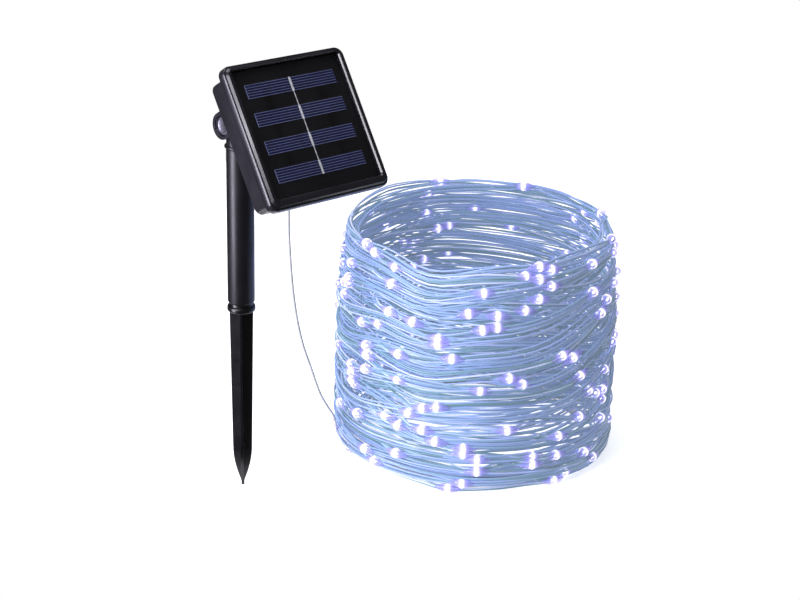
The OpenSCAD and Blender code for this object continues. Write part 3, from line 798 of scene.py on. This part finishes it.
def makeStem():
    high = poleSet["high"]
    r = poleSet["radius"]
    stem = turned(
        "stem",
        [
            (5.6, high - poleSet["plug"]), (poleSet["plugRadius"], high - 17.4),
            (poleSet["plugRadius"], high + 0.3), (r + 0.45, high + 0.32), (r + 0.8, high + 0.6),
            (r + 0.8, high + 1.5), (r + 0.45, high + 1.8), (r - 0.15, high + 1.85), (r - 0.15, high + 5.6),
            (r - 0.7, high + 6.3),
        ],
        64,
    )
    t = stemSet
    tab = addBox(
        "tab",
        (-t["tabHalfWidth"], -t["tabHalfDepth"], 0),
        (t["tabHalfWidth"], t["tabHalfDepth"], t["tabHeight"]),
    )
    eye = turned("eye", [(t["eyeRadius"], -t["eyeHalf"]), (t["eyeRadius"], t["eyeHalf"])], 48)
    eye.data.transform(Matrix.Translation((0, 0, t["eyeUp"] * mm)) @ Matrix.Rotation(math.pi / 2, 4, "Y"))
    tab.data.transform(Matrix.Translation((0, 0, 0.4 * mm)))
    combine(tab, eye)
    facing = Matrix.Rotation(math.radians(head["yaw"]), 4, "Z")
    tab.data.transform(Matrix.Translation((0, 0, high * mm)) @ facing)
    combine(stem, tab)
    bore = turned("bore", [(hingeBore, -8), (hingeBore, 8)], 32)
    bore.data.transform(headMatrix @ Matrix.Rotation(math.pi / 2, 4, "Y"))
    combine(stem, bore, "DIFFERENCE")
    softenEdges(stem, 0.35, 2, 40)
    smooth(stem, 40)
    return finish(stem, "bracket", "poleAbs", ["bracket_stem"])


makeSpike()
makePole()
makeStem()
print("stake done")


# the panel head, in mm and in its own frame
bezelSet = {
    "side": 74.6, "depth": 6, "corner": 4.5, "step": 1.2, "edgeHeight": 0.9, "edgeDraft": 0.42,
    "rimDraft": 0.7, "rim": 1.7, "rimHeight": 1.5, "bevel": 0.65, "bevelDepth": 0.9, "up": 1.2,
    "ledge": 2, "ledgeDepth": 4.05,
}
housingSet = {
    "side": 68, "back": 34.5, "front": 47.2, "wall": 1.8, "bulgeWidth": 48, "bulgeHeight": 56,
    "bulgeBack": 27.5, "corner": 4, "lipRise": 0.6, "lipWider": 1.1, "lipHeight": 2.4,
}
holeSet = {
    "nut": 4.16, "nutDeep": 3.7, "button": 4.4, "screw": 2.5, "screwDeep": 1.2, "screwAt": 29.2, "lead": 1.8,
}
glandSet = {"x": 2, "down": 23.5, "ribs": 4, "pitch": 1.15, "widest": 2.25, "narrower": 0.2}
cellSet = {"length": 55.2, "width": 7.2, "pitch": 14.5, "top": 51.7, "rows": 4}
fingerSet = {"perCell": 6, "halfWidth": 0.11}
ribbonSet = {"halfLength": 25.6, "halfWidth": 0.3, "onCell": 2.1, "offCell": 0.75}
earSet = {"gap": 10.1, "thick": 7, "radius": 7, "recess": 5.4, "recessDeep": 3.2, "boltHead": 5.1}
buttonSet = {"x": -11.5, "ys": (4, -10), "radius": 3}


def makeBezel():
    b = bezelSet
    half = b["side"] / 2
    mid, face = head["middle"], head["face"]
    shoulder = face - b["rimHeight"] - b["edgeHeight"]
    bezel = addBox("bezel", (-half, mid - half, face - b["depth"]), (half, mid + half, shoulder))
    roundUprights(bezel, b["corner"])
    startEdit(bezel)
    pickEnd(bezel, True)
    # the outer edge and the rim's wall both lean in a little
    for rise, draft, width in (
        (b["edgeHeight"], b["edgeDraft"], b["side"]),
        (b["rimHeight"], b["rimDraft"], b["side"] - 2 * b["step"]),
    ):
        pullUp(rise * mm)
        scale = 1 - 2 * draft / width
        bpy.ops.transform.resize(value=(scale, scale, 1), center_override=(0, mid * mm, face * mm))
        if width == b["side"]:
            bpy.ops.mesh.inset(thickness=(b["step"] - draft) * mm)
    bpy.ops.mesh.inset(thickness=b["rim"] * mm)
    bpy.ops.transform.translate(value=(0, b["up"] * mm, 0))
    bpy.ops.mesh.inset(thickness=b["bevel"] * mm, depth=-b["bevelDepth"] * mm)
    pullUp((b["bevelDepth"] - b["ledgeDepth"]) * mm)
    bpy.ops.mesh.inset(thickness=b["ledge"] * mm)
    ledge = (face - b["ledgeDepth"]) * mm
    pickEnd(bezel, False)
    frameWidth = b["step"] + b["rimDraft"] + b["rim"] + b["bevel"] + b["ledge"]
    bpy.ops.mesh.inset(thickness=frameWidth * mm)
    bpy.ops.transform.translate(value=(0, b["up"] * mm, 0))
    low = (face - b["depth"]) * mm
    pick(bezel, "FACE", lambda f: isCap(f, (ledge, low)))
    bpy.ops.mesh.bridge_edge_loops()
    endOutwards()
    softenEdges(bezel, 0.38, 3, 28)
    smooth(bezel, 40)
    return finish(bezel, "panel_head", "bezelAbs", ["front_bezel"], headMatrix)


def makeEar(name, x):
    e = earSet
    top = housingSet["bulgeBack"] + 1
    ear = addBox(name, (x, -e["radius"], -e["radius"]), (x + e["thick"], e["radius"], top))
    startEdit(ear)
    lowEdge = -e["radius"] * mm

    def isLowSide(edge):
        a, b = (v.co for v in edge.verts)
        return max(abs(a.z - lowEdge), abs(b.z - lowEdge), abs(a.y - b.y)) < 1e-6

    pick(ear, "EDGE", isLowSide)
    bpy.ops.mesh.bevel(offset=(e["radius"] - 0.02) * mm, segments=12, affect="EDGES")
    endEdit()
    return ear


def cutHole(piece, name, radius, low, high, sides, centre):
    combine(piece, turned(name, [(radius, low), (radius, high)], sides, centre), "DIFFERENCE")


def makeHousing():
    h, e, holes = housingSet, earSet, holeSet
    half, mid = h["side"] / 2, head["middle"]
    housing = addBox("housing", (-half, mid - half, h["back"]), (half, mid + half, h["front"] - 3))
    roundUprights(housing, h["corner"])
    startEdit(housing)
    pickEnd(housing, True)
    pullUp(h["lipRise"] * mm)
    scale = (h["side"] + h["lipWider"]) / h["side"]
    bpy.ops.transform.resize(value=(scale, scale, 1), center_override=(0, mid * mm, h["front"] * mm))
    pullUp(h["lipHeight"] * mm)
    bpy.ops.mesh.inset(thickness=(h["wall"] + h["lipWider"] / 2) * mm)
    pullUp(-(h["front"] - h["back"] - h["wall"]) * mm)
    endEdit()
    bw, bh = h["bulgeWidth"] / 2, h["bulgeHeight"] / 2
    bulge = addBox("bulge", (-bw, mid - bh, h["bulgeBack"]), (bw, mid + bh, h["back"] + 1))
    roundUprights(bulge, h["corner"])
    combine(housing, bulge)
    combine(housing, makeEar("leftEar", -e["gap"] / 2 - e["thick"]))
    combine(housing, makeEar("rightEar", e["gap"] / 2))
    wall = h["wall"]
    hollow = addBox(
        "hollow",
        (-bw + wall, mid - bh + wall, h["bulgeBack"] + wall),
        (bw - wall, mid + bh - wall, h["front"] - 1),
    )
    combine(housing, hollow, "DIFFERENCE")
    sideways = Matrix.Rotation(math.pi / 2, 4, "Y")
    outerFace = e["gap"] / 2 + e["thick"]
    bore = turned("bore", [(hingeBore, -20), (hingeBore, 20)], 32)
    recessEnd = -e["gap"] / 2 - e["thick"] + e["recessDeep"]
    recess = turned("recess", [(e["recess"], -20), (e["recess"], recessEnd)], 48)
    nutHole = turned("nutHole", [(holes["nut"], outerFace - holes["nutDeep"]), (holes["nut"], 20)], 6)
    for cutter in (bore, recess, nutHole):
        cutter.data.transform(sideways)
        combine(housing, cutter, "DIFFERENCE")
    behind, inside = h["bulgeBack"] - 1, h["bulgeBack"] + 3
    for y in buttonSet["ys"]:
        cutHole(housing, "buttonHole", holes["button"], behind, inside, 40, (buttonSet["x"], mid + y))
    at = holes["screwAt"]
    wellEnd = h["back"] + holes["screwDeep"]
    for sx in (-1, 1):
        for sy in (-1, 1):
            well = (sx * at, mid + sy * at)
            cutHole(housing, "screwWell", holes["screw"], h["back"] - 1, wellEnd, 24, well)
    cutHole(housing, "leadHole", holes["lead"], behind, inside, 24, (glandSet["x"], mid - glandSet["down"]))
    softenEdges(housing, 0.5, 2, 40)
    smooth(housing, 40)
    return finish(housing, "panel_head", "housingAbs", ["rear_housing"], headMatrix)


def makeBolt():
    # domed bolt head down in the ear's recess, with its shank through the eye
    inner = earSet["gap"] / 2 + earSet["thick"] - earSet["recessDeep"]
    r = earSet["boltHead"]
    rings = [
        (1.9, 10.6), (2.0, 10.2), (2.0, -inner), (r - 0.2, -inner), (r, -inner - 0.3), (r, -inner - 1.5),
        (r - 0.25, -inner - 1.9), (r - 0.8, -inner - 2.1), (r - 1.6, -inner - 2.0), (r - 2.0, -inner - 1.85),
        (0.1, -inner - 1.95),
    ]
    bolt = turned("bolt", rings, 48)
    bolt.data.transform(Matrix.Rotation(math.pi / 2, 4, "Y"))
    smooth(bolt, 40)
    return finish(bolt, "panel_head", "boltSteel", ["hinge_bolt"], headMatrix)


def makeCells():
    # silver fingers printed on the cells, a line at each cell's left end, and the ribbon that joins them;
    # real fingers are finer and closer, too fine to show, so there are fewer and they are wider
    width, pitch, top = cellSet["width"], cellSet["pitch"], cellSet["top"]
    left, right = -cellSet["length"] / 2, cellSet["length"] / 2
    half, count = fingerSet["halfWidth"], fingerSet["perCell"]
    midRow, midFinger = (cellSet["rows"] - 1) / 2, (count - 1) / 2
    fingers = []
    middle = head["middle"] + bezelSet["up"]
    for row in range(cellSet["rows"]):
        y = middle + (midRow - row) * pitch
        for k in range(count):
            at = y + (k - midFinger) * (width - 0.5) / (count - 1)
            corners = (left + 0.1, at - half, top - 0.01), (right - 0.1, at + half, top + 0.03)
            fingers.append(addBox("finger", *corners))
        low, high = y - width / 2 + 0.2, y + width / 2 - 0.2
        fingers.append(addBox("finger", (left + 0.1, low, top - 0.01), (left + 0.45, high, top + 0.035)))
    finish(joinPieces(fingers, "cell_fingers"), "panel_head", "finger", (), headMatrix)
    r = ribbonSet
    ribbon = addBox(
        "ribbon",
        (-r["halfWidth"], middle - r["halfLength"], top + 0.02),
        (r["halfWidth"], middle + r["halfLength"], top + 0.09),
    )
    startEdit(ribbon)
    pick(ribbon, "EDGE", lambda edge: (edge.verts[0].co - edge.verts[1].co).length > 0.03)
    bpy.ops.mesh.subdivide(number_cuts=127)
    endEdit()
    for v in ribbon.data.vertices:
        y = v.co.y / mm - middle
        offCell = min(abs(y - (midRow - row) * pitch) for row in range(cellSet["rows"])) - width / 2
        v.co.x *= r["onCell"] + 0.25 * math.sin(1.7 * y) if offCell < 0 else r["offCell"]
        v.co.z += 0.02 * mm * math.sin(y * 2.1) * (v.co.z > (top + 0.05) * mm)
    finish(ribbon, "panel_head", "ribbon", ["cell_ribbon"], headMatrix)


def makeGland():
    # tapered rubber strain relief with ribs, from the bulge's back
    g = glandSet
    back = housingSet["bulgeBack"]
    hole = holeSet["lead"]
    rings = [(hole, back + 2.4), (hole, back), (2.5, back), (2.6, back - 0.3), (2.6, back - 1.1)]
    for k in range(g["ribs"]):
        at = back - 1.3 - k * g["pitch"]
        wide = g["widest"] - g["narrower"] * k
        rings += [(wide - 0.35, at), (wide - 0.35, at - 0.4), (wide, at - 0.5), (wide, at - 0.95)]
    rings += [(1.25, back - 5.9), (0.68, back - 6)]
    gland = turned("gland", rings, 32, (g["x"], head["middle"] - g["down"]))
    smooth(gland, 35)
    return finish(gland, "panel_head", "sealRubber", ["cable_gland"], headMatrix)


def makeButton(name, y, body, finishName, node):
    back = housingSet["bulgeBack"]
    r = buttonSet["radius"]
    rings = [
        (r - 0.5, back + 3.6), (r - 0.5, back + 0.2), (r, back + 0.1), (r, back - 1.2), (r - 0.2, back - 1.6),
        (r - 0.7, back - 1.8), (r - 1.0, back - 1.65), (0.1, back - 1.6),
    ]
    button = turned(name, rings, 40, (buttonSet["x"], head["middle"] + y))
    smooth(button, 40)
    return finish(button, body, finishName, [node], headMatrix)


def makeSeals():
    back = housingSet["bulgeBack"]
    seals = []
    for y in buttonSet["ys"]:
        rings = [
            (4.3, back + 1.8), (4.3, back), (5.1, back), (5.2, back - 0.2), (4.9, back - 0.4),
            (3.7, back - 0.45), (3.35, back - 0.2), (3.3, back + 1.8),
        ]
        seal = turned("seal", rings, 40, (buttonSet["x"], head["middle"] + y))
        startEdit(seal)
        level = (back + 1.8) * mm
        pick(seal, "FACE", lambda f: isCap(f, (level,)))
        bpy.ops.mesh.bridge_edge_loops()
        endOutwards()
        seals.append(seal)
    rings = joinPieces(seals, "button_seal_rings")
    smooth(rings, 40)
    return finish(rings, "panel_head", "sealRubber", ["button_seals"], headMatrix)


makeBezel()
makeHousing()
makeBolt()
makeCells()
makeGland()
makeButton("power_key", buttonSet["ys"][0], "power_cap", "redRubber", "power_button")
makeButton("mode_key", buttonSet["ys"][1], "mode_cap", "buttonRubber", "mode_button")
makeSeals()
print("panel head done")


# CAD pieces that stay as they are, with their finishes
keptFinishes = {
    "hinge_washers": "steel", "hinge_nut": "steel", "housing_gasket": "foam",
    "panel_board": "panelBlack", "solar_cells": "silicon", "cell_links": "linkBlack", "panel_cover": "cover",
    "battery_cell": "batteryWrap", "battery_cradle": "innerAbs", "battery_contacts": "steel",
    "control_board": "boardGreen", "board_parts": "chipBlack", "board_screws": "steel",
    "power_switch": "chipBlack", "mode_switch": "chipBlack", "housing_screws": "steel",
    "panel_wires": "redWire", "battery_wires": "blackWire",
}
for node, finishName in keptFinishes.items():
    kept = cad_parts[node]
    kept.data.materials.clear()
    kept.data.materials.append(finishes[finishName])
print("kept pieces done")


# floor and lights, in metres and watts
floorSet = {"left": -0.1, "right": 0.55, "front": -0.02, "back": 0.6, "height": -0.0005, "lift": 0.6}
softboxes = {
    "leftSoftbox": {
        "place": (-0.84, -0.5, 0.08), "target": (0, 0, 0.15), "size": (0.36, 0.95), "power": 16,
        "colour": (0.86, 0.83, 1.0),
    },
    "keySoftbox": {
        "place": (-0.65, -0.92, 0.66), "target": (0.08, 0, 0.18), "size": (0.36, 0.36), "power": 9,
        "colour": (0.96, 0.94, 1.0),
    },
    "topSoftbox": {
        "place": (-0.1, 0.15, 1.1), "target": (0.1, 0.02, 0.1), "size": (0.8, 0.8), "power": 8,
        "colour": (0.96, 0.94, 1.0),
    },
}


def makeFloor():
    # pale paper on the ground: white to the eye and in reflections, and it keeps the object's shadow
    material = startMaterial("whitePaper")
    rays = addNode(material, "ShaderNodeLightPath")
    seen = rays.outputs["Is Camera Ray"]
    for other in ("Is Glossy Ray", "Is Transmission Ray"):
        pair = {0: seen, 1: rays.outputs[other]}
        seen = addNode(material, "ShaderNodeMath", {"operation": "MAXIMUM"}, pair).outputs[0]
    lift = addNode(material, "ShaderNodeMath", {"operation": "MULTIPLY", 1: floorSet["lift"]}, {0: seen})
    glow = addNode(material, "ShaderNodeEmission", {}, {"Strength": lift.outputs[0]})
    paper = addNode(material, "ShaderNodeBsdfDiffuse", {"Color": linearColour("#F4F4F4")})
    both = addNode(material, "ShaderNodeAddShader", {}, {0: paper.outputs[0], 1: glow.outputs[0]})
    finishMaterial(material, both)
    bpy.ops.object.select_all(action="DESELECT")
    bpy.ops.mesh.primitive_plane_add(size=1)
    floor = bpy.context.object
    floor.name = "floor"
    f = floorSet
    floor.scale = (f["right"] - f["left"], f["back"] - f["front"], 1)
    floor.location = ((f["right"] + f["left"]) / 2, (f["back"] + f["front"]) / 2, f["height"])
    floor.data.materials.append(material)


def addSoftbox(name, settings):
    lamp = bpy.data.lights.new(name, "AREA")
    lamp.color = settings["colour"]
    lamp.shape = "RECTANGLE"
    lamp.size, lamp.size_y = settings["size"]
    lamp.energy = settings["power"]
    box = bpy.data.objects.new(name, lamp)
    bpy.context.scene.collection.objects.link(box)
    box.location = settings["place"]
    aim = Vector(settings["target"]) - Vector(settings["place"])
    box.rotation_euler = aim.to_track_quat("-Z", "Y").to_euler()


def makeLights():
    # white to the camera and through clear parts; the room in front is dim, so black plastic stays black
    world = bpy.data.worlds.new("studio")
    bpy.context.scene.world = world
    world.use_nodes = True
    world.node_tree.nodes.clear()
    rays = addNode(world, "ShaderNodeLightPath")
    clear = addNode(
        world, "ShaderNodeMath", {"operation": "MAXIMUM"},
        {0: rays.outputs["Is Camera Ray"], 1: rays.outputs["Is Transmission Ray"]},
    )
    diffuse = addNode(
        world,
        "ShaderNodeMapRange",
        {"To Min": 0.08, "To Max": 0.36},
        {"Value": rays.outputs["Is Diffuse Ray"]},
    )
    coolWhite = (0.93, 0.95, 1, 1)
    around = addNode(world, "ShaderNodeBackground", {"Color": coolWhite}, {"Strength": diffuse.outputs[0]})
    white = addNode(world, "ShaderNodeBackground", {"Color": (1, 1, 1, 1), "Strength": 1.0})
    mixLinks = {0: clear.outputs[0], 1: around.outputs[0], 2: white.outputs[0]}
    mix = addNode(world, "ShaderNodeMixShader", {}, mixLinks)
    output = addNode(world, "ShaderNodeOutputWorld")
    world.node_tree.links.new(mix.outputs[0], output.inputs["Surface"])
    for name, settings in softboxes.items():
        addSoftbox(name, settings)


makeFloor()
makeLights()
bpy.context.scene.view_settings.view_transform = "Standard"
print("floor and lights done")
